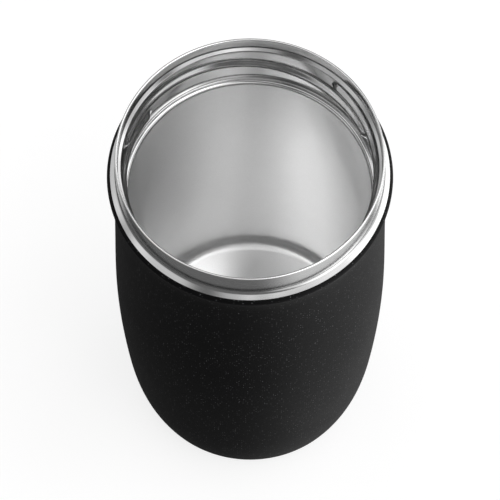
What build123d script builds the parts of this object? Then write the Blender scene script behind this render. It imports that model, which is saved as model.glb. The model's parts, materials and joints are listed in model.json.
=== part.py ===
from build123d import *
import math
import os

# Double-wall vacuum tumbler body, without its lid. Millimetres, +Z up, origin at the centre of the base.

# ---- overall ----
HEIGHT = 152.8               # foot pad's underside to the top of the lip
LIP_RADIUS = 40.4            # outside of the drinking lip
LINER_SHEET = 0.4            # steel of the inner liner
SHELL_SHEET = 0.4            # steel of the outer shell
COAT = 0.2                   # powder coat
FOOT_PROUD = 0.6             # how far the foot pad stands below the steel base

# ---- lip, neck and collar, bare steel seen from outside ----
LIP_BEAD = 0.6               # height of the welded and polished bead along the lip
NECK_HOLLOW = 2.0            # radius of the hollow between the upright neck and the collar
COLLAR_SLOPE = 44.0          # degrees below horizontal, down to where the coat begins

# ---- coated body, outside of the coat ----
SHOULDER_RADIUS = 43.05      # widest ring, just below the collar
SHOULDER_Z = HEIGHT - 11.9
SHOULDER_ROUND = 2.2
SHOULDER_UNDERCUT = 25.0     # degrees that the rounding carries on below its widest ring
WAIST = (41.45, HEIGHT - 20.8)
BELLY = (42.2, HEIGHT - 78.8)
SHIN = (40.4, HEIGHT - 121.3)
HEEL_ROUND = 5.6             # radius of the rounding into the base
HEEL_CENTRE_RADIUS = 30.6
HEEL_SPAN = 72.0             # degrees of that rounding, up from the base
HEM_RADIUS = 28.0            # the shell turns up into the base here, face towards the axis
HEM_BEND = 0.9
HEM_TOP = 5.0

# ---- inside of the liner ----
MOUTH_RADIUS = LIP_RADIUS - LINER_SHEET - SHELL_SHEET
MOUTH_STEP_TOP_Z = HEIGHT - 4.4
MOUTH_STEP_FOOT_Z = HEIGHT - 5.2
NECK_RADIUS = 38.55
NECK_STEP_TOP_Z = HEIGHT - 22.1    # the ledge that the lid seals on
NECK_STEP_FOOT_Z = HEIGHT - 22.3
CUP_RADIUS = 36.75
LINER_JOINT_Z = 40.0         # the tube ends here, and the pressed bottom begins
LINER_BEAD_HALF = 0.8        # half the height of the bead over that joint
LINER_BEAD_PROUD = 0.25
FLOOR_Z = HEIGHT - 134.3
FLOOR_ROUND = 3.6

# ---- lid thread, rolled into the neck ----
THREAD_STARTS = 3
THREAD_SPAN = 140.0          # degrees covered by each ridge
THREAD_FIRST_START = 45.5    # degrees from +X to the first ridge's upper end
THREAD_TOP_Z = HEIGHT - 8.2
THREAD_DROP = 7.8            # fall of a ridge over its span
THREAD_CREST_RADIUS = 37.05
THREAD_HALF_WIDTH = 2.4

# ---- base, from the bottom up ----
PAD_RADIUS = 26.0
PAD_THICK = 1.8
PAD_EDGE_ROUND = 0.5
PAD_GROOVE_RADIUS = 17.0
PAD_GROOVE_ROUND = 0.7
PAD_HOLLOW_RADIUS = 9.0
PAD_HOLLOW_DEPTH = 0.8
COVER_SHEET = 0.4
GLUE_THICK = 0.25
GLUE_MARGIN = 0.5            # the glue stops this far inside the pad's edge
COVER_ROUND = 0.8
COVER_RIM_TOP = 4.0
BOTTOM_FLANGE_FOOT = 2.2
BOTTOM_DISC_Z = 6.0          # underside of the bottom plate near its flange
BOTTOM_BEND = 1.6
BOTTOM_CROWN = 2.2           # rise of the domed plate at its centre
DIMPLE_RADIUS = 4.0
PORT_RADIUS = 1.0            # evacuation port, closed by the seal
SEAL_RADIUS = 3.0
SEAL_THICK = 1.6

# ---- sealed inside the vacuum ----
FOIL = 0.15
FOIL_FOOT_Z = 46.0
FOIL_TOP_Z = HEIGHT - 26.8
GETTER_RADIUS = 4.0
GETTER_THICK = 2.2
GETTER_OFFSET = 15.0
CLIP_WIDTH = 5.0
CLIP_SHEET = 0.3
CLIP_FOOT = 4.0


def at(radius, z):
    """A point of a profile, in the plane that holds the axis."""
    return Vector(radius, 0, z)


def polar(degrees, length):
    """A step of a profile, by its angle up from the outward direction."""
    return at(math.cos(math.radians(degrees)), math.sin(math.radians(degrees))) * length


def turned(*edges):
    """The solid of revolution of the closed profile that these edges bound."""
    return revolve(Face(Wire(edges)), axis=Axis.Z, revolution_arc=360)


def end_caps(one, other):
    """The short lines that close a sheet's profile at both ends of its two faces."""
    return [Line(one[0] @ 0, other[0] @ 0), Line(one[-1] @ 1, other[-1] @ 1)]


def polygon_edges(*points):
    return [Line(a, b) for a, b in zip(points, points[1:])]


def ring(inner, outer, low, high):
    corners = (at(inner, low), at(outer, low), at(outer, high), at(inner, high), at(inner, low))
    return turned(*polygon_edges(*corners))


def disc(radius, low, high):
    return Pos(0, 0, low) * Cylinder(radius, high - low, align=(Align.CENTER, Align.CENTER, Align.MIN))


# ---- outside of the body ----

def collar_foot(inset):
    """The lower edge of the sloping collar, where the shoulder's rounding begins."""
    centre = at(SHOULDER_RADIUS - SHOULDER_ROUND, SHOULDER_Z)
    return centre + polar(90 - COLLAR_SLOPE, SHOULDER_ROUND - inset)


def body_side(inset):
    """The coated side from the collar's foot down to the base, a distance inside the coat's surface."""
    shoulder_centre = at(SHOULDER_RADIUS - SHOULDER_ROUND, SHOULDER_Z)
    shoulder_round = SHOULDER_ROUND - inset
    shoulder = ThreePointArc(
        collar_foot(inset),
        shoulder_centre + at(shoulder_round, 0),
        shoulder_centre + polar(-SHOULDER_UNDERCUT, shoulder_round),
    )
    heel_centre = at(HEEL_CENTRE_RADIUS, FOOT_PROUD + HEEL_ROUND)
    heel_round = HEEL_ROUND - inset
    heel = ThreePointArc(
        heel_centre + polar(HEEL_SPAN - 90, heel_round),
        heel_centre + polar(HEEL_SPAN / 2 - 90, heel_round),
        heel_centre + polar(-90, heel_round),
    )
    stations = [at(radius - inset, z) for radius, z in (WAIST, BELLY, SHIN)]
    ends = (shoulder % 1, heel % 0)
    side = Spline(shoulder @ 1, *stations, heel @ 0, tangents=ends, tangent_scalars=(1, 1))
    return [shoulder, side, heel]


def bare_neck(inset):
    """The uncoated neck and collar, from under the lip bead down to the coat's edge, over the steel."""
    foot = collar_foot(COAT + inset)
    neck = LIP_RADIUS - inset
    corner = at(neck, foot.Z + (foot.X - neck) * math.tan(math.radians(COLLAR_SLOPE)))
    top = at(neck, HEIGHT - LIP_BEAD)
    return FilletPolyline(top, corner, foot, radius=NECK_HOLLOW + inset).edges()


def hem(inset):
    """The shell's turned-in flat and its hem, from the heel's inner edge up into the base."""
    low = FOOT_PROUD + COAT + inset
    bend = HEM_BEND - inset
    wall = HEM_RADIUS + inset
    centre = at(wall + bend, low + bend)
    flat = Line(at(HEEL_CENTRE_RADIUS, low), centre - at(0, bend))
    turn = ThreePointArc(flat @ 1, centre + polar(225, bend), centre - at(bend, 0))
    return [flat, turn, Line(turn @ 1, at(wall, HEM_TOP))]


def make_outer_shell():
    outside = [*bare_neck(0), *body_side(COAT), *hem(0)]
    inside = [*bare_neck(SHELL_SHEET), *body_side(COAT + SHELL_SHEET), *hem(SHELL_SHEET)]
    return turned(*outside, *inside, *end_caps(outside, inside))


def make_powder_coat():
    """The coat's skin over the side and heel, up to where the steel turns into the base."""
    outside, inside = body_side(0), body_side(COAT)
    for face in (outside, inside):
        base_edge = face[-1] @ 1
        face.append(Line(base_edge, at(HEM_RADIUS + HEM_BEND, base_edge.Z)))
    return turned(*outside, *inside, *end_caps(outside, inside))


# ---- liner ----

def liner_wall(outset):
    """The liner's wall from under the lip bead to its joint with the bottom, a distance outside its bore."""
    points = [
        at(MOUTH_RADIUS + outset, HEIGHT - LIP_BEAD),
        at(MOUTH_RADIUS + outset, MOUTH_STEP_TOP_Z - outset),
        at(NECK_RADIUS + outset, MOUTH_STEP_FOOT_Z - outset),
        at(NECK_RADIUS + outset, NECK_STEP_TOP_Z - outset),
        at(CUP_RADIUS + outset, NECK_STEP_FOOT_Z - outset),
        at(CUP_RADIUS + outset, LINER_JOINT_Z),
    ]
    return polygon_edges(*points)


def thread_ridges(inset):
    """Round helical tubes, one to each thread start, that bulge through the neck wall as rolled ridges."""
    rise = THREAD_CREST_RADIUS - NECK_RADIUS
    crest_round = (THREAD_HALF_WIDTH ** 2 + rise ** 2) / (-2 * rise)
    axis_radius = THREAD_CREST_RADIUS + crest_round
    path = Helix(pitch=THREAD_DROP * 360 / THREAD_SPAN, height=THREAD_DROP, radius=axis_radius)
    radius = crest_round - inset
    tube = sweep(Plane(origin=path @ 0, z_dir=path % 0) * Circle(radius), path=path)
    tube = tube + Pos(*(path @ 0)) * Sphere(radius) + Pos(*(path @ 1)) * Sphere(radius)
    low_z = THREAD_TOP_Z - THREAD_DROP
    turns = [THREAD_FIRST_START - THREAD_SPAN + i * 360 / THREAD_STARTS for i in range(THREAD_STARTS)]
    return [Pos(0, 0, low_z) * Rot(0, 0, turn) * tube for turn in turns]


def make_inner_liner():
    bore, back = liner_wall(0), liner_wall(LINER_SHEET)
    wall = turned(*bore, *back, *end_caps(bore, back))
    mid_wall = NECK_RADIUS + LINER_SHEET / 2
    neck_band = ring(THREAD_CREST_RADIUS - 1, mid_wall, NECK_STEP_TOP_Z, MOUTH_STEP_FOOT_Z)
    for ridge in thread_ridges(0):
        wall += ridge & neck_band
    for groove in thread_ridges(LINER_SHEET):
        wall -= groove
    return wall


def make_liner_bottom():
    """The pressed bottom: a short wall that meets the tube, a rounded corner and a flat floor."""
    def face(outset):
        corner = FLOOR_ROUND + outset
        centre = at(CUP_RADIUS - FLOOR_ROUND, FLOOR_Z + FLOOR_ROUND)
        wall_foot = centre + at(corner, 0)
        floor_edge = centre - at(0, corner)
        middle = centre + polar(-45, corner)
        return [
            Line(at(CUP_RADIUS + outset, LINER_JOINT_Z), wall_foot),
            ThreePointArc(wall_foot, middle, floor_edge),
            Line(floor_edge, at(0, FLOOR_Z - outset)),
        ]
    inside, outside = face(0), face(LINER_SHEET)
    return turned(*inside, *outside, *end_caps(inside, outside))


def make_liner_weld():
    """A low bead around the outside of the joint between the liner's tube and bottom."""
    skin = CUP_RADIUS + LINER_SHEET
    low, high = at(skin, LINER_JOINT_Z - LINER_BEAD_HALF), at(skin, LINER_JOINT_Z + LINER_BEAD_HALF)
    crest = at(skin + LINER_BEAD_PROUD, LINER_JOINT_Z)
    return turned(ThreePointArc(low, crest, high), Line(high, low))


def weld_bead(inner, outer, root, crest):
    """A ring of weld with a flat crest and chamfered corners, upright or hanging down from its root."""
    cut = (outer - inner) / 4
    shoulder = crest - math.copysign(cut, crest - root)
    flanks = [at(outer, root), at(outer, shoulder), at(outer - cut, crest)]
    flanks += [at(inner + cut, crest), at(inner, shoulder), at(inner, root)]
    return turned(*polygon_edges(*flanks, flanks[0]))


def make_lip_weld():
    """The bead that joins liner and shell, dressed as the drinking lip."""
    return weld_bead(MOUTH_RADIUS, LIP_RADIUS, HEIGHT - LIP_BEAD, HEIGHT)


# ---- base ----

def bottom_face(outset):
    """The bottom plate's face from the flange's foot to its domed middle, a distance above its underside."""
    wall = HEM_RADIUS - SHELL_SHEET + outset
    bend = BOTTOM_BEND + outset
    centre = at(wall - bend, BOTTOM_DISC_Z - BOTTOM_BEND)
    top = centre + at(0, bend)
    turn = ThreePointArc(at(wall, centre.Z), centre + polar(45, bend), top)
    span, rise = top.X, BOTTOM_CROWN
    dome_round = (span ** 2 + rise ** 2) / (2 * rise)
    dome_centre = top + at(-span, rise - dome_round)
    half = math.degrees(math.asin(span / dome_round)) / 2
    dome = ThreePointArc(top, dome_centre + polar(90 - half, dome_round), dome_centre + at(0, dome_round))
    return [Line(at(wall, BOTTOM_FLANGE_FOOT), at(wall, centre.Z)), turn, dome]


def make_outer_bottom():
    """The plate that closes the shell, domed, with a dimple around the evacuation port."""
    under, over = bottom_face(0), bottom_face(SHELL_SHEET)
    plate = turned(*under, *over, *end_caps(under, over))
    return plate - disc(PORT_RADIUS, BOTTOM_DISC_Z, BOTTOM_DISC_Z + 2 * BOTTOM_CROWN) - seal_seat()


def seal_seat():
    """The shallow round recess, cut into the underside of the plate, that the seal sits in."""
    top = BOTTOM_DISC_Z + BOTTOM_CROWN + SHELL_SHEET / 4
    return disc(DIMPLE_RADIUS, top - BOTTOM_CROWN, top)


def make_vacuum_seal():
    """The melted drop that closes the port, flat against the plate and rounded below."""
    top = BOTTOM_DISC_Z + BOTTOM_CROWN + SHELL_SHEET / 4
    low, edge = at(0, top - SEAL_THICK), at(SEAL_RADIUS, top)
    return turned(TangentArc(low, edge, tangent=(1, 0, 0)), Line(edge, at(0, top)), Line(at(0, top), low))


def make_base_weld():
    """The bead between the shell's hem and the bottom plate's flange, at their lower edges."""
    inner = HEM_RADIUS - SHELL_SHEET
    return weld_bead(inner, HEM_RADIUS, BOTTOM_FLANGE_FOOT, BOTTOM_FLANGE_FOOT - SHELL_SHEET / 2)


def make_base_cover():
    """The shallow cup that hides the seal, pressed up into the bottom plate's flange."""
    radius = HEM_RADIUS - SHELL_SHEET
    low = PAD_THICK + GLUE_THICK
    cup = fillet(disc(radius, low, COVER_RIM_TOP).edges().group_by(Axis.Z)[0], COVER_ROUND)
    hollow = disc(radius - COVER_SHEET, low + COVER_SHEET, COVER_RIM_TOP)
    return cup - fillet(hollow.edges().group_by(Axis.Z)[0], COVER_ROUND - COVER_SHEET)


def make_pad_glue():
    return disc(PAD_RADIUS - GLUE_MARGIN, PAD_THICK, PAD_THICK + GLUE_THICK)


def make_foot_pad():
    """The soft non-slip pad, hollowed in the middle, with one groove around it."""
    pad = disc(PAD_RADIUS, 0, PAD_THICK)
    pad = fillet(pad.edges().group_by(Axis.Z)[0], PAD_EDGE_ROUND)
    groove = Pos(0, 0, -PAD_GROOVE_ROUND / 2) * Torus(PAD_GROOVE_RADIUS, PAD_GROOVE_ROUND)
    return pad - disc(PAD_HOLLOW_RADIUS, 0, PAD_HOLLOW_DEPTH) - groove


# ---- vacuum side ----

def make_heat_foil():
    skin = CUP_RADIUS + LINER_SHEET
    return ring(skin, skin + FOIL, FOIL_FOOT_Z, FOIL_TOP_Z)


def plate_top(radius):
    """Height of the bottom plate's upper face at a radius, along its dome."""
    dome = bottom_face(SHELL_SHEET)[-1]
    return (dome @ 1).Z - dome.radius + math.sqrt(dome.radius ** 2 - radius ** 2)


def getter_floor():
    """The highest point of the plate under the getter, where the getter touches."""
    return plate_top(GETTER_OFFSET - GETTER_RADIUS)


def make_getter():
    return Pos(GETTER_OFFSET, 0, 0) * disc(GETTER_RADIUS, getter_floor(), getter_floor() + GETTER_THICK)


def make_getter_clip():
    """The strap over the getter, with a foot on each side that is spot-welded to the plate."""
    top = getter_floor() + GETTER_THICK
    reach = GETTER_RADIUS + CLIP_SHEET
    foot_z = plate_top(math.hypot(GETTER_OFFSET - CLIP_WIDTH / 2, GETTER_RADIUS))
    centre = (Align.CENTER, Align.CENTER, Align.MIN)
    bridge = Pos(GETTER_OFFSET, 0, top) * Box(CLIP_WIDTH, 2 * reach, CLIP_SHEET, align=centre)
    leg = Box(CLIP_WIDTH, CLIP_SHEET, top - foot_z, align=(Align.CENTER, Align.MIN, Align.MIN))
    foot = Box(CLIP_WIDTH, CLIP_FOOT, CLIP_SHEET, align=(Align.CENTER, Align.MIN, Align.MIN))
    side = Pos(GETTER_OFFSET, GETTER_RADIUS, foot_z) * (leg + foot)
    return bridge + side + mirror(side, about=Plane.XZ)


PARTS = {
    "inner_liner": make_inner_liner,
    "liner_bottom": make_liner_bottom,
    "liner_weld_bead": make_liner_weld,
    "lip_weld_bead": make_lip_weld,
    "outer_shell": make_outer_shell,
    "powder_coat": make_powder_coat,
    "outer_bottom": make_outer_bottom,
    "base_weld_bead": make_base_weld,
    "vacuum_seal": make_vacuum_seal,
    "heat_foil": make_heat_foil,
    "getter": make_getter,
    "getter_clip": make_getter_clip,
    "base_cover": make_base_cover,
    "pad_glue": make_pad_glue,
    "foot_pad": make_foot_pad,
}

os.makedirs("parts", exist_ok=True)
for name, make in PARTS.items():
    export_step(make(), f"parts/{name}.step")
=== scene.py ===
import json
import math

import bmesh
import bpy
import numpy as np
from mathutils import Matrix, Vector


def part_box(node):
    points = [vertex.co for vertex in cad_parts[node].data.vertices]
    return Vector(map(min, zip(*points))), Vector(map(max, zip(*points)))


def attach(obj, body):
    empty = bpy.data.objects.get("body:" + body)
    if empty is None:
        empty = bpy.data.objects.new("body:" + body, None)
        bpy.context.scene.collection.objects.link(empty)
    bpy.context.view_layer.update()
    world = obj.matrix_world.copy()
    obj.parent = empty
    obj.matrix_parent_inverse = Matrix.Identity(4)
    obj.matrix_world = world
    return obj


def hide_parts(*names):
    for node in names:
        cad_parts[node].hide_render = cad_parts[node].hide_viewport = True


# A vacuum tumbler body without its lid: steel neck and liner, black powder-coated outside.
# Everything is in metres, in the CAD frame: +Z up, origin under the foot pad's centre.

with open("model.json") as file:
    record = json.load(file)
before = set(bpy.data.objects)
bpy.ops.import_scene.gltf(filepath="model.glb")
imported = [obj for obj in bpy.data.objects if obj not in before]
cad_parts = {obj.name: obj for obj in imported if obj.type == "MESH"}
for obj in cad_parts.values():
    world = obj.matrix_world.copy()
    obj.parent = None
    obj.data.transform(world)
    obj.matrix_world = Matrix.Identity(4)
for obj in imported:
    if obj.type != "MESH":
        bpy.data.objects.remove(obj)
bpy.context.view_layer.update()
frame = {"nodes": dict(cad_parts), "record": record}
mounts = {m["name"]: m for m in frame["record"]["mounts"]}

MM = 0.001
AROUND = 320                 # segments around every turned piece
ARC_STEP = math.radians(9)   # widest turn between the points of a rounding
CREASE = math.radians(38)    # edges sharper than this stay sharp
ON_AXIS = 0.0001 * MM        # a profile point nearer than this is on the axis

# ---- sizes read from the frame ----
LIP_LOW, LIP_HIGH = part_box("lip_weld_bead")
HEIGHT = LIP_HIGH.z
LIP_RADIUS = LIP_HIGH.x
LIP_FOOT = LIP_LOW.z
CUP_RADIUS = mounts["cup_bore"]["dims"]["r_mm"] * MM
CREST_RADIUS = mounts["lid_thread"]["dims"]["r_mm"] * MM
LINER_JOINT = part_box("inner_liner")[0].z
SHOULDER_RADIUS = min(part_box("powder_coat")[1].xy)
BASE_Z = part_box("powder_coat")[0].z
PAD_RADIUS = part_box("foot_pad")[1].x
PAD_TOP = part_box("foot_pad")[1].z
COVER_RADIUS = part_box("base_cover")[1].x
COVER_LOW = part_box("base_cover")[0].z
COVER_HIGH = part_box("base_cover")[1].z
FLANGE_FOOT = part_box("base_weld_bead")[1].z

# ---- sheet and coat ----
SHEET = 0.4 * MM
COAT = 0.2 * MM
COAT_EDGE_ROUND = 0.09 * MM
COAT_EDGE_POINTS = 5

# ---- neck, collar and body, seen from outside ----
NECK_HOLLOW = 2.0 * MM       # rounding between the neck and the collar
COLLAR_SLOPE = math.radians(44)
SHOULDER_Z = HEIGHT - 11.9 * MM
SHOULDER_ROUND = 2.2 * MM
SHOULDER_UNDERCUT = math.radians(25)        # how far the shoulder curls in below its widest
WAIST = (41.45 * MM, HEIGHT - 20.8 * MM)    # radius and height of each station down the side
BELLY = (42.2 * MM, HEIGHT - 78.8 * MM)
SHIN = (40.4 * MM, HEIGHT - 121.3 * MM)
HEEL_ROUND = 5.6 * MM
HEEL_CENTRE_RADIUS = 30.6 * MM
HEEL_SPAN = math.radians(72)
HEM_RADIUS = COVER_RADIUS + SHEET
HEM_BEND = 0.9 * MM
HEM_TOP = 5.0 * MM
SIDE_ROWS = 60

# ---- liner ----
MOUTH_RADIUS = LIP_RADIUS - 2 * SHEET
NECK_RADIUS = 38.55 * MM
# heights of each step's outer and inner end, and the roundings there
MOUTH_STEP = (HEIGHT - 4.4 * MM, HEIGHT - 5.2 * MM)
MOUTH_STEP_ROUND = (0.3 * MM, 0.7 * MM)
NECK_STEP = (HEIGHT - 22.1 * MM, HEIGHT - 22.3 * MM)
NECK_STEP_ROUND = (0.3 * MM, 1.2 * MM)
FLOOR_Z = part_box("liner_bottom")[0].z + SHEET
FLOOR_ROUND = 3.6 * MM
NECK_ROW = 0.22 * MM         # spacing of the rows that carry the thread

# ---- lid thread, rolled into the neck ----
THREAD_STARTS = 3
THREAD_SPAN = math.radians(140)
THREAD_FIRST_START = math.radians(45.5)
THREAD_TOP = HEIGHT - 8.2 * MM
THREAD_DROP = 7.8 * MM
THREAD_HALF_WIDTH = 2.8 * MM


# ================= meshes =================

def arc(centre, radius, start, end):
    """Points of an arc in the profile plane, between two angles in radians up from the outward way."""
    count = max(2, math.ceil(abs(end - start) / ARC_STEP))
    angles = np.linspace(start, end, count + 1)
    return [(centre[0] + radius * math.cos(a), centre[1] + radius * math.sin(a)) for a in angles]


def rounded(corners):
    """Profile points through (radius, z, rounding) corners, with an arc in place of each rounded corner."""
    points = []
    for i, (radius, z, rounding) in enumerate(corners):
        here = Vector((radius, z))
        if not rounding:
            points.append((radius, z))
            continue
        back = (Vector(corners[i - 1][:2]) - here).normalized()
        ahead = (Vector(corners[(i + 1) % len(corners)][:2]) - here).normalized()
        half = back.angle(ahead) / 2
        centre = here + (back + ahead).normalized() * rounding / math.sin(half)
        first = here + back * rounding / math.tan(half) - centre
        turn = first.angle_signed(here + ahead * rounding / math.tan(half) - centre)
        start = math.atan2(first.y, first.x)
        points += arc(centre, rounding, start, start - turn)
    return points


def with_rows(points, spacing, low, high):
    """The profile with extra points, so that no step between two heights is longer than the spacing."""
    dense = [points[0]]
    for a, b in zip(points, points[1:]):
        inside = low <= (a[1] + b[1]) / 2 <= high
        count = math.ceil(math.dist(a, b) / spacing) if inside else 1
        step = np.array(b) - np.array(a)
        dense += [tuple(np.array(a) + step * k / count) for k in range(1, count + 1)]
    return dense


def spline_through(stations, first_slope, last_slope, rows):
    """Points of the smooth cubic, radius over height, through the stations, with both end slopes given."""
    z = np.array([s[1] for s in stations])
    r = np.array([s[0] for s in stations])
    gap, count = np.diff(z), len(z)
    system, known = np.eye(count), np.zeros(count)
    known[0], known[-1] = first_slope, last_slope
    for i in range(1, count - 1):
        system[i, i - 1:i + 2] = 1 / gap[i - 1], 2 / gap[i - 1] + 2 / gap[i], 1 / gap[i]
        known[i] = 3 * ((r[i] - r[i - 1]) / gap[i - 1] ** 2 + (r[i + 1] - r[i]) / gap[i] ** 2)
    slope = np.linalg.solve(system, known)
    points = []
    for height in np.linspace(z[0], z[-1], rows):
        i = min(int(np.searchsorted(-z, -height, side="right")) - 1, count - 2)
        t = (height - z[i]) / gap[i]
        radius = (
            (1 + 2 * t) * (1 - t) ** 2 * r[i] + t * (1 - t) ** 2 * gap[i] * slope[i]
            + t * t * (3 - 2 * t) * r[i + 1] + t * t * (t - 1) * gap[i] * slope[i + 1]
        )
        points.append((radius, height))
    return points


def ring_angles(count):
    """A full turn of evenly spaced angles."""
    return np.arange(count) * 2 * math.pi / count


def add_ring(mesh, radii, z):
    """New vertices at a height, one for each radius, evenly spaced around the axis."""
    angles = ring_angles(len(radii))
    return [mesh.verts.new((x, y, z)) for x, y in zip(radii * np.cos(angles), radii * np.sin(angles))]


def add_band(mesh, one, other):
    """Faces between two rings. Either may be a single point on the axis, but not both."""
    for k in range(max(len(one), len(other))):
        corners = [ring[i % len(ring)] for ring, i in ((one, k), (one, k + 1), (other, k + 1), (other, k))]
        mesh.faces.new(list(dict.fromkeys(corners)))


def smooth_object(name, mesh):
    """A new object in the scene that holds a finished mesh, shaded smooth."""
    data = bpy.data.meshes.new(name)
    mesh.to_mesh(data)
    mesh.free()
    data.polygons.foreach_set("use_smooth", [True] * len(data.polygons))
    made = bpy.data.objects.new(name, data)
    bpy.context.scene.collection.objects.link(made)
    return made


def turned(name, profile, swell=None):
    """A closed solid of revolution. The profile is a loop, or runs from the axis to the axis.

    swell(angles, z) gives how far the points of a ring at height z stand towards the axis."""
    angles = ring_angles(AROUND)
    mesh = bmesh.new()
    rings = []
    for radius, z in profile:
        if radius < ON_AXIS:
            radii = np.zeros(1)
        else:
            radii = radius - swell(angles, z) if swell else np.full(AROUND, radius)
        rings.append(add_ring(mesh, radii, z))
    for one, other in zip(rings, rings[1:]):
        add_band(mesh, one, other)
    if len(rings[0]) > 1:
        add_band(mesh, rings[-1], rings[0])
    bmesh.ops.recalc_face_normals(mesh, faces=mesh.faces)
    piece = smooth_object(name, mesh)
    piece.data.set_sharp_from_angle(angle=CREASE)
    return piece


# ================= profiles =================

def collar_foot(inset):
    """Where the sloping collar ends and the shoulder's rounding begins."""
    reach = SHOULDER_ROUND - inset
    lift = math.pi / 2 - COLLAR_SLOPE
    centre_radius = SHOULDER_RADIUS - SHOULDER_ROUND
    return centre_radius + reach * math.cos(lift), SHOULDER_Z + reach * math.sin(lift)


def body_side(inset):
    """The coated side from the collar's foot to the flat base, a distance inside the coat's surface."""
    shoulder_centre = (SHOULDER_RADIUS - SHOULDER_ROUND, SHOULDER_Z)
    shoulder = arc(shoulder_centre, SHOULDER_ROUND - inset, math.pi / 2 - COLLAR_SLOPE, -SHOULDER_UNDERCUT)
    heel_centre = (HEEL_CENTRE_RADIUS, BASE_Z + HEEL_ROUND)
    heel = arc(heel_centre, HEEL_ROUND - inset, HEEL_SPAN - math.pi / 2, -math.pi / 2)
    stations = [shoulder[-1], *((r - inset, z) for r, z in (WAIST, BELLY, SHIN)), heel[0]]
    side = spline_through(stations, math.tan(SHOULDER_UNDERCUT), 1 / math.tan(HEEL_SPAN), SIDE_ROWS)
    return shoulder[:-1] + side + heel[1:]


def bare_neck(inset):
    """Bare steel from under the lip bead down to the collar's foot."""
    foot = collar_foot(COAT + inset)
    corner_z = foot[1] + (foot[0] - LIP_RADIUS + inset) * math.tan(COLLAR_SLOPE)
    top = (LIP_RADIUS - inset, LIP_FOOT, 0)
    return rounded([top, (LIP_RADIUS - inset, corner_z, NECK_HOLLOW + inset), (*foot, 0)])


def hem(inset):
    """The shell's hem: from the flat base up into the recess."""
    bend = HEM_BEND - inset
    centre = (HEM_RADIUS + HEM_BEND, BASE_Z + COAT + HEM_BEND)
    return arc(centre, bend, -math.pi / 2, -math.pi) + [(HEM_RADIUS + inset, HEM_TOP)]


def shell_profile():
    """The outer shell's sheet, from under the lip down to the hem and back up its inner face."""
    def face(inset):
        return bare_neck(inset)[:-1] + body_side(COAT + inset) + hem(inset)
    return face(0) + face(SHEET)[::-1]


def coat_profile():
    """The coat's skin. Its upper edge is rounded over onto the bare collar."""
    outside, inside = body_side(0), body_side(COAT)
    end = HEM_RADIUS + HEM_BEND
    across = (Vector(outside[0]) - Vector(inside[0])).normalized()
    along = Vector((-across.y, across.x))
    crown = Vector(outside[0]) - across * COAT_EDGE_ROUND
    turns = np.linspace(math.pi / 2, 0, COAT_EDGE_POINTS)[:-1]
    edge = [crown + COAT_EDGE_ROUND * (across * math.cos(a) + along * math.sin(a)) for a in turns]
    return [tuple(p) for p in edge] + outside + [(end, BASE_Z), (end, BASE_Z + COAT)] + inside[::-1]


def liner_profile():
    """The liner's sheet: mouth, neck, ledge and straight wall, down to the joint with the bottom."""
    def face(outset):
        return rounded([
            (MOUTH_RADIUS + outset, LIP_FOOT, 0),
            (MOUTH_RADIUS + outset, MOUTH_STEP[0] - outset, MOUTH_STEP_ROUND[0]),
            (NECK_RADIUS + outset, MOUTH_STEP[1] - outset, MOUTH_STEP_ROUND[1]),
            (NECK_RADIUS + outset, NECK_STEP[0] - outset, NECK_STEP_ROUND[0]),
            (CUP_RADIUS + outset, NECK_STEP[1] - outset, NECK_STEP_ROUND[1]),
            (CUP_RADIUS + outset, LINER_JOINT, 0),
        ])
    rows = [with_rows(face(t), NECK_ROW, NECK_STEP[0], MOUTH_STEP[1]) for t in (0, SHEET)]
    return rows[0] + rows[1][::-1]


def liner_bottom_profile():
    """The pressed bottom's sheet: a short wall, a rounded corner and a flat floor."""
    centre = (CUP_RADIUS - FLOOR_ROUND, FLOOR_Z + FLOOR_ROUND)

    def face(outset):
        corner = arc(centre, FLOOR_ROUND + outset, 0, -math.pi / 2)
        return [(CUP_RADIUS + outset, LINER_JOINT), *corner, (0, FLOOR_Z - outset)]
    return face(0)[::-1] + face(SHEET)


def lip_profile():
    """The drinking lip, a half round over the two sheets."""
    half = (LIP_RADIUS - MOUTH_RADIUS) / 2
    top = arc((LIP_RADIUS - half, HEIGHT - half), half, 0, math.pi)
    return [(LIP_RADIUS, LIP_FOOT), *top, (MOUTH_RADIUS, LIP_FOOT)]


def cover_profile():
    """The shallow pressed cup under the base, with rounded bends and rim."""
    bend, rim_round = 0.8 * MM, 0.12 * MM
    inner, floor = COVER_RADIUS - SHEET, COVER_LOW + SHEET
    outside = [(0, COVER_LOW, 0), (COVER_RADIUS, COVER_LOW, bend), (COVER_RADIUS, COVER_HIGH, rim_round)]
    inside = [(inner, COVER_HIGH, rim_round), (inner, floor, bend - SHEET), (0, floor, 0)]
    return rounded(outside + inside)


def weld_profile():
    """The half-round bead against the hem, under the flange of the plate that it holds."""
    radius = SHEET / 2
    return arc((HEM_RADIUS - radius, FLANGE_FOOT), radius, 0, -math.pi)


def pad_profile():
    """The foot pad, with a shallow hollow in the middle and one moulded groove around it."""
    hollow_radius, hollow_depth, hollow_slope = 9.0 * MM, 0.8 * MM, 0.4 * MM
    hollow_rounds = (0.3 * MM, 0.2 * MM)        # at its top corner and at its mouth
    groove_radius, groove_half, groove_depth = 17.0 * MM, 0.7 * MM, 0.35 * MM
    groove_rounds = (0.15 * MM, 0.1 * MM)       # at its top corners and at its mouth
    edge_round = 0.5 * MM
    return rounded([
        (0, hollow_depth, 0),
        (hollow_radius - hollow_slope, hollow_depth, hollow_rounds[0]),
        (hollow_radius, 0, hollow_rounds[1]),
        (groove_radius - groove_half, 0, groove_rounds[1]),
        (groove_radius - groove_half / 2, groove_depth, groove_rounds[0]),
        (groove_radius + groove_half / 2, groove_depth, groove_rounds[0]),
        (groove_radius + groove_half, 0, groove_rounds[1]),
        (PAD_RADIUS, 0, edge_round),
        (PAD_RADIUS, PAD_TOP, 0),
        (0, PAD_TOP, 0),
    ])


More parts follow.
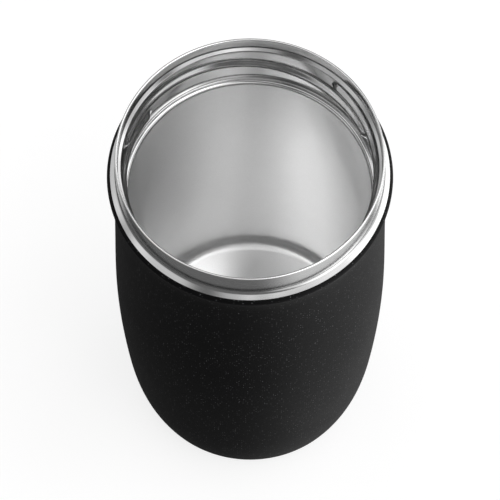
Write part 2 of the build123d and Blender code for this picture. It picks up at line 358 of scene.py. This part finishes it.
def thread_swell(angles, z):
    """How far the rolled ridges stand into the neck: smooth humps with round ends."""
    rise = NECK_RADIUS - CREST_RADIUS
    length = math.hypot(NECK_RADIUS * THREAD_SPAN, THREAD_DROP)
    way = np.array([-NECK_RADIUS * THREAD_SPAN, -THREAD_DROP]) / length
    total = np.zeros(len(angles))
    for start in range(THREAD_STARTS):
        first = THREAD_FIRST_START + start * 2 * math.pi / THREAD_STARTS
        centre = first - THREAD_SPAN / 2
        offset = (angles - centre + math.pi) % (2 * math.pi) - math.pi + centre - first
        spot = np.stack([offset * NECK_RADIUS, np.full(len(angles), z - THREAD_TOP)])
        along = np.clip(way @ spot, 0, length)
        distance = np.hypot(spot[0] - way[0] * along, spot[1] - way[1] * along)
        hump = np.cos(np.minimum(distance / THREAD_HALF_WIDTH, 1) * math.pi / 2) ** 2
        total = np.maximum(total, rise * hump)
    return total


# ================= materials =================

NOISE_RANGE = (0.3, 0.7)     # most of a noise's values lie between these

# ---- noise scales for each axis, in cycles per metre ----
ROUND = (60, 60, 5200)       # turned lines, which run around the axis
LAID = (45, 4200, 45)        # lines brushed one way across a plate
BLASTED = (2600,) * 3        # a fine even grain
BEADED = (900,) * 3          # a rough weld
HANDLED = (70, 70, 55)       # faint marks on bare steel
PEELED = (520,) * 3          # the coat's orange peel
CLOUDED = (45,) * 3          # the coat's slow unevenness
DUSTED = (90,) * 3           # dust on rubber, glue and glass
PAPERY = (9,) * 3            # the studio floor's slow unevenness

# ---- finishes ----
POLISH_FADE = 0.5 * MM       # height over which the blasted steel turns into the polished
COAT_ROUGHNESS = (0.46, 0.56)
COAT_DARK = (0.0026, 0.0026, 0.0028, 1)
COAT_PALE = (0.0046, 0.0046, 0.0049, 1)
FLECK_COLOUR = (0.16, 0.16, 0.165, 1)
FLECK_CELLS = 1500.0         # cells per metre, with at most one fleck in each
FLECK_RADIUS = 0.24          # in cells
FLECK_DULL = 0.65            # share of the flecks that don't show


def node(tree, kind, inputs=None, **settings):
    """A new node with its settings, and each input set to a value or linked to a socket."""
    made = tree.nodes.new(kind)
    for key, value in settings.items():
        setattr(made, key, value)
    for socket, value in (inputs or {}).items():
        if isinstance(value, bpy.types.NodeSocket):
            tree.links.new(value, made.inputs[socket])
        else:
            made.inputs[socket].default_value = value
    return made


def blank_material(name):
    """A material with only its output, its tree, and the socket of object coordinates."""
    made = bpy.data.materials.new(name)
    made.use_nodes = True
    tree = made.node_tree
    tree.nodes.clear()
    place = node(tree, "ShaderNodeTexCoord").outputs["Object"]
    return made, tree, place


def finish_material(tree, shader):
    """Give the material its surface."""
    node(tree, "ShaderNodeOutputMaterial", {"Surface": shader.outputs[0]})


def stretched_noise(tree, place, stretch, detail=3.0, roughness=0.6):
    """Noise whose grain is pulled out by a scale for each axis, in cycles per metre."""
    spread = node(tree, "ShaderNodeVectorMath", {0: place, 1: stretch}, operation="MULTIPLY")
    inputs = {"Vector": spread.outputs[0], "Scale": 1.0, "Detail": detail, "Roughness": roughness}
    return node(tree, "ShaderNodeTexNoise", inputs).outputs["Fac"]


def remap(tree, value, from_low, from_high, to_low, to_high, **settings):
    """The value taken from one range to another, and held to that range."""
    ranges = {"From Min": from_low, "From Max": from_high, "To Min": to_low, "To Max": to_high}
    return node(tree, "ShaderNodeMapRange", {"Value": value, **ranges}, **settings).outputs["Result"]


def from_noise(tree, noise, low, high):
    """A range of values that follows a noise."""
    return remap(tree, noise, *NOISE_RANGE, low, high)


def wander(tree, noise, swing):
    """A value that strays from zero by up to the swing, either way, with a noise."""
    return from_noise(tree, noise, -swing, swing)


def maths(tree, operation, a, b):
    """The result of a maths node on two values."""
    return node(tree, "ShaderNodeMath", {0: a, 1: b}, operation=operation).outputs[0]


def bumped(tree, height, distance, strength, normal=None):
    """A normal that is tipped as if the surface rose with a height, over any earlier normal."""
    inputs = {"Height": height, "Distance": distance, "Strength": strength}
    if normal:
        inputs["Normal"] = normal
    return node(tree, "ShaderNodeBump", inputs).outputs["Normal"]


def steel(name, colour, roughness, lines, line_depth, polish=None):
    """Bare steel: fine lines along one way, faint handling marks, and a roughness that wanders.

    polish is (z, colour, roughness): the steel has that colour and smoothness above that height."""
    made, tree, place = blank_material(name)
    grain = stretched_noise(tree, place, lines)
    marks = stretched_noise(tree, place, HANDLED, detail=4.0, roughness=0.55)
    shade = maths(tree, "ADD", wander(tree, grain, 0.03), wander(tree, marks, 0.015))
    level, plain = roughness, (*colour, 1)
    if polish:
        polish_z, polish_colour, polish_roughness = polish
        height = node(tree, "ShaderNodeSeparateXYZ", {"Vector": place}).outputs["Z"]
        above = remap(tree, height, polish_z - POLISH_FADE, polish_z, 0.0, 1.0)
        level = remap(tree, above, 0.0, 1.0, roughness, polish_roughness)
        ends = {"Factor": above, "A": plain, "B": (*polish_colour, 1)}
        plain = node(tree, "ShaderNodeMix", ends, data_type="RGBA").outputs[2]
    value = maths(tree, "ADD", shade, 1.0)
    tint = node(tree, "ShaderNodeHueSaturation", {"Color": plain, "Value": value})
    rough = maths(tree, "ADD", wander(tree, marks, 0.02), level)
    shader = node(tree, "ShaderNodeBsdfPrincipled", {
        "Base Color": tint.outputs[0], "Metallic": 1.0, "Roughness": rough,
        "Normal": bumped(tree, grain, line_depth, 0.5),
    })
    finish_material(tree, shader)
    return made


def powder_black():
    """Satin black powder coat: grainy, a little uneven, with sparse pale flecks in it."""
    made, tree, place = blank_material("powder_black")
    grain = stretched_noise(tree, place, BLASTED)
    peel = stretched_noise(tree, place, PEELED, detail=2.0)
    clouds = stretched_noise(tree, place, CLOUDED)
    cells = node(tree, "ShaderNodeTexVoronoi", {"Vector": place, "Scale": FLECK_CELLS, "Randomness": 1.0})
    near = maths(tree, "LESS_THAN", cells.outputs["Distance"], FLECK_RADIUS)
    lot = node(tree, "ShaderNodeSeparateColor", {"Color": cells.outputs["Color"]}).outputs[0]
    fleck = maths(tree, "MULTIPLY", near, remap(tree, lot, FLECK_DULL, 1.0, 0.0, 1.0))
    tones = {"Factor": from_noise(tree, clouds, 0.0, 1.0), "A": COAT_DARK, "B": COAT_PALE}
    base = node(tree, "ShaderNodeMix", tones, data_type="RGBA")
    flecked = {"Factor": fleck, "A": base.outputs[2], "B": FLECK_COLOUR}
    colour = node(tree, "ShaderNodeMix", flecked, data_type="RGBA")
    rough = maths(tree, "ADD", from_noise(tree, grain, *COAT_ROUGHNESS), wander(tree, clouds, 0.02))
    normal = bumped(tree, grain, 0.03 * MM, 0.8)
    normal = bumped(tree, peel, 0.04 * MM, 0.5, normal)
    shader = node(tree, "ShaderNodeBsdfPrincipled", {
        "Base Color": colour.outputs[2], "Roughness": rough, "Normal": normal, "Specular IOR Level": 0.10,
    })
    finish_material(tree, shader)
    return made


def moulded(name, colour, roughness, grain_scale, grain_depth):
    """Moulded rubber, film or glass: no metal, with a fine grain and dusty unevenness."""
    made, tree, place = blank_material(name)
    grain = stretched_noise(tree, place, (grain_scale,) * 3)
    dust = stretched_noise(tree, place, DUSTED, detail=4.0)
    value = from_noise(tree, dust, 0.85, 1.35)
    tint = node(tree, "ShaderNodeHueSaturation", {"Color": (*colour, 1), "Value": value})
    shader = node(tree, "ShaderNodeBsdfPrincipled", {
        "Base Color": tint.outputs[0],
        "Roughness": from_noise(tree, dust, roughness - 0.05, roughness + 0.08),
        "Normal": bumped(tree, grain, grain_depth, 0.8),
    })
    finish_material(tree, shader)
    return made


def crinkled_metal(name, colour, roughness, scale, depth):
    """Thin foil or pressed powder: metal with creases or pits."""
    made, tree, place = blank_material(name)
    crease = stretched_noise(tree, place, (scale, scale, scale * 0.7), detail=5.0)
    value = from_noise(tree, crease, 0.9, 1.1)
    tint = node(tree, "ShaderNodeHueSaturation", {"Color": (*colour, 1), "Value": value})
    shader = node(tree, "ShaderNodeBsdfPrincipled", {
        "Base Color": tint.outputs[0], "Metallic": 1.0,
        "Roughness": from_noise(tree, crease, roughness - 0.05, roughness + 0.05),
        "Normal": bumped(tree, crease, depth, 0.6),
    })
    finish_material(tree, shader)
    return made


neck_steel = steel("neck_steel", (0.85, 0.85, 0.85), 0.17, ROUND, 0.002 * MM)
liner_steel = steel("liner_steel", (0.91, 0.91, 0.91), 0.33, BLASTED, 0.0003 * MM,
                    polish=(NECK_STEP[1], (0.60, 0.60, 0.60), 0.11))
plate_steel = steel("plate_steel", (0.66, 0.66, 0.66), 0.32, LAID, 0.008 * MM)
weld_steel = steel("weld_steel", (0.60, 0.58, 0.56), 0.35, BEADED, 0.02 * MM)
coat_black = powder_black()
silicone = moulded("silicone", (0.045, 0.045, 0.047), 0.62, 1800, 0.02 * MM)
adhesive = moulded("adhesive", (0.62, 0.61, 0.56), 0.45, 700, 0.02 * MM)
solder = moulded("solder_glass", (0.10, 0.09, 0.08), 0.18, 500, 0.03 * MM)
copper = crinkled_metal("copper_foil", (0.86, 0.50, 0.34), 0.24, 260, 0.15 * MM)
getter_grey = crinkled_metal("getter_alloy", (0.32, 0.31, 0.30), 0.60, 3500, 0.03 * MM)


# ================= the object =================

TURNED = {
    # piece: (the CAD node it stands for, profile, swell, material, the record's slot)
    "liner_tube": ("inner_liner", liner_profile(), thread_swell, liner_steel, "liner_steel"),
    "liner_floor": ("liner_bottom", liner_bottom_profile(), None, liner_steel, "liner_steel"),
    "lip": ("lip_weld_bead", lip_profile(), None, neck_steel, "neck_steel"),
    "shell": ("outer_shell", shell_profile(), None, neck_steel, "neck_steel"),
    "coat": ("powder_coat", coat_profile(), None, coat_black, "black_powder_coat"),
    "hem_weld": ("base_weld_bead", weld_profile(), None, weld_steel, "weld_steel"),
    "cover": ("base_cover", cover_profile(), None, plate_steel, "plate_steel"),
    "pad": ("foot_pad", pad_profile(), None, silicone, "silicone"),
}
for piece_name, (cad_node, profile, swell, finish, slot) in TURNED.items():
    piece = turned(piece_name, profile, swell)
    piece.data.materials.append(finish)
    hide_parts(cad_node)
    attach(piece, "root")

KEPT = {
    "liner_weld_bead": weld_steel,
    "outer_bottom": plate_steel,
    "vacuum_seal": solder,
    "heat_foil": copper,
    "getter": getter_grey,
    "getter_clip": plate_steel,
    "pad_glue": adhesive,
}
for cad_node, finish in KEPT.items():
    materials = frame["nodes"][cad_node].data.materials
    materials.clear()
    materials.append(finish)


# ================= studio =================

FLOOR_GREY = (0.30, 0.30, 0.30, 1)
FLOOR_GLOW = (0.78, 0.79)    # light that the floor gives out itself, so that it stays nearly white

def studio_sweep():
    """A pale floor that curves up into a wall all round.

    It is left out of mirrored and bounced light, which would wash the steel out. It casts no shadow, so
    that the lights below it reach the object."""
    floor_radius, bend, wall_top = 1.6, 1.2, 5.0
    low = -0.05 * MM        # just under the pad, so that their faces don't fight
    around = 96
    centre = (floor_radius, low + bend)
    profile = [(0, low), *arc(centre, bend, -math.pi / 2, 0), (floor_radius + bend, wall_top)]
    mesh = bmesh.new()
    rings = [add_ring(mesh, np.full(around if radius else 1, radius), z) for radius, z in profile]
    for one, other in zip(rings, rings[1:]):
        add_band(mesh, other, one)
    sweep = smooth_object("studio_sweep", mesh)
    made, tree, place = blank_material("studio_white")
    paper = stretched_noise(tree, place, PAPERY, detail=2.0)
    matt = node(tree, "ShaderNodeBsdfDiffuse", {"Color": FLOOR_GREY})
    strength = from_noise(tree, paper, *FLOOR_GLOW)
    glow = node(tree, "ShaderNodeEmission", {"Color": (1, 1, 1, 1), "Strength": strength})
    lit = node(tree, "ShaderNodeAddShader", {0: matt.outputs[0], 1: glow.outputs[0]})
    finish_material(tree, lit)
    sweep.data.materials.append(made)
    sweep.visible_glossy = False
    sweep.visible_diffuse = False
    sweep.visible_shadow = False


WINDOWS = [
    # soft round lights at a distance: azimuth from +X, elevation, half-angle (all in degrees), strength
    (330, 60, 18, 2.50),     # key, overhead and right
    (30, 60, 18, 1.65),
    (120, 60, 18, 1.00),     # overhead and behind
    (180, 80, 18, 0.93),
    (300, 40, 20, 0.86),     # right front
    (0, 20, 22, 0.70),       # right
    (330, 0, 28, 0.80),
    (30, 0, 26, 1.20),
    (210, 20, 22, 0.45),     # left front fill
    (180, 20, 22, 0.25),
    (150, 0, 28, 0.45),      # left fill
    (262, 31, 13, 0.38),     # front fill, kept off the thread's flanks
    (278, 31, 13, 0.35),
    (315, -20, 28, 0.55),    # bounce from the table
    (0, -50, 35, 0.48),
]
AMBIENT = 0.13               # strength of the dim room around them
WINDOW_BLUR = 0.3            # how far a window's edge fades to each side, as a share of its half-angle


def studio_world():
    """The studio's light: soft round windows in a dim room, so that bare steel has something to mirror."""
    world = bpy.data.worlds.new("studio")
    bpy.context.scene.world = world
    world.use_nodes = True
    tree = world.node_tree
    tree.nodes.clear()
    way = node(tree, "ShaderNodeTexCoord").outputs["Generated"]
    total = AMBIENT
    for azimuth, elevation, half_angle, strength in WINDOWS:
        a, e = math.radians(azimuth), math.radians(elevation)
        axis = (math.cos(a) * math.cos(e), math.sin(a) * math.cos(e), math.sin(e))
        along = node(tree, "ShaderNodeVectorMath", {0: way, 1: axis}, operation="DOT_PRODUCT")
        off_axis = maths(tree, "ARCCOSINE", along.outputs["Value"], 0.0)
        edge_out = math.radians((1 + WINDOW_BLUR) * half_angle)
        edge_in = math.radians((1 - WINDOW_BLUR) * half_angle)
        glow = remap(tree, off_axis, edge_out, edge_in, 0.0, strength, interpolation_type="SMOOTHSTEP")
        total = maths(tree, "ADD", glow, total)
    light = node(tree, "ShaderNodeBackground", {"Color": (1, 1, 1, 1), "Strength": total})
    node(tree, "ShaderNodeOutputWorld", {"Surface": light.outputs[0]})


def photo_camera():
    """A long lens high in front of the tumbler, looking down into its mouth."""
    pitch = math.radians(64.49)
    beyond, below = 1.2024, -0.0225        # to the shoulder's centre, along the view and down from it
    lens, sensor = 288.0, 36.0
    ahead = Vector((0, math.cos(pitch), -math.sin(pitch)))
    down = Vector((0, -math.sin(pitch), -math.cos(pitch)))
    data = bpy.data.cameras.new("photo_camera")
    data.lens, data.sensor_width = lens, sensor
    data.clip_start, data.clip_end = 0.05, 50
    camera = bpy.data.objects.new("photo_camera", data)
    bpy.context.scene.collection.objects.link(camera)
    place = Vector((0, 0, SHOULDER_Z)) - ahead * beyond - down * below
    turn = Matrix((Vector((1, 0, 0)), -down, -ahead)).transposed().to_4x4()
    camera.matrix_world = Matrix.Translation(place) @ turn
    bpy.context.scene.camera = camera


bpy.context.scene.view_settings.view_transform = "Standard"
studio_sweep()
studio_world()
photo_camera()
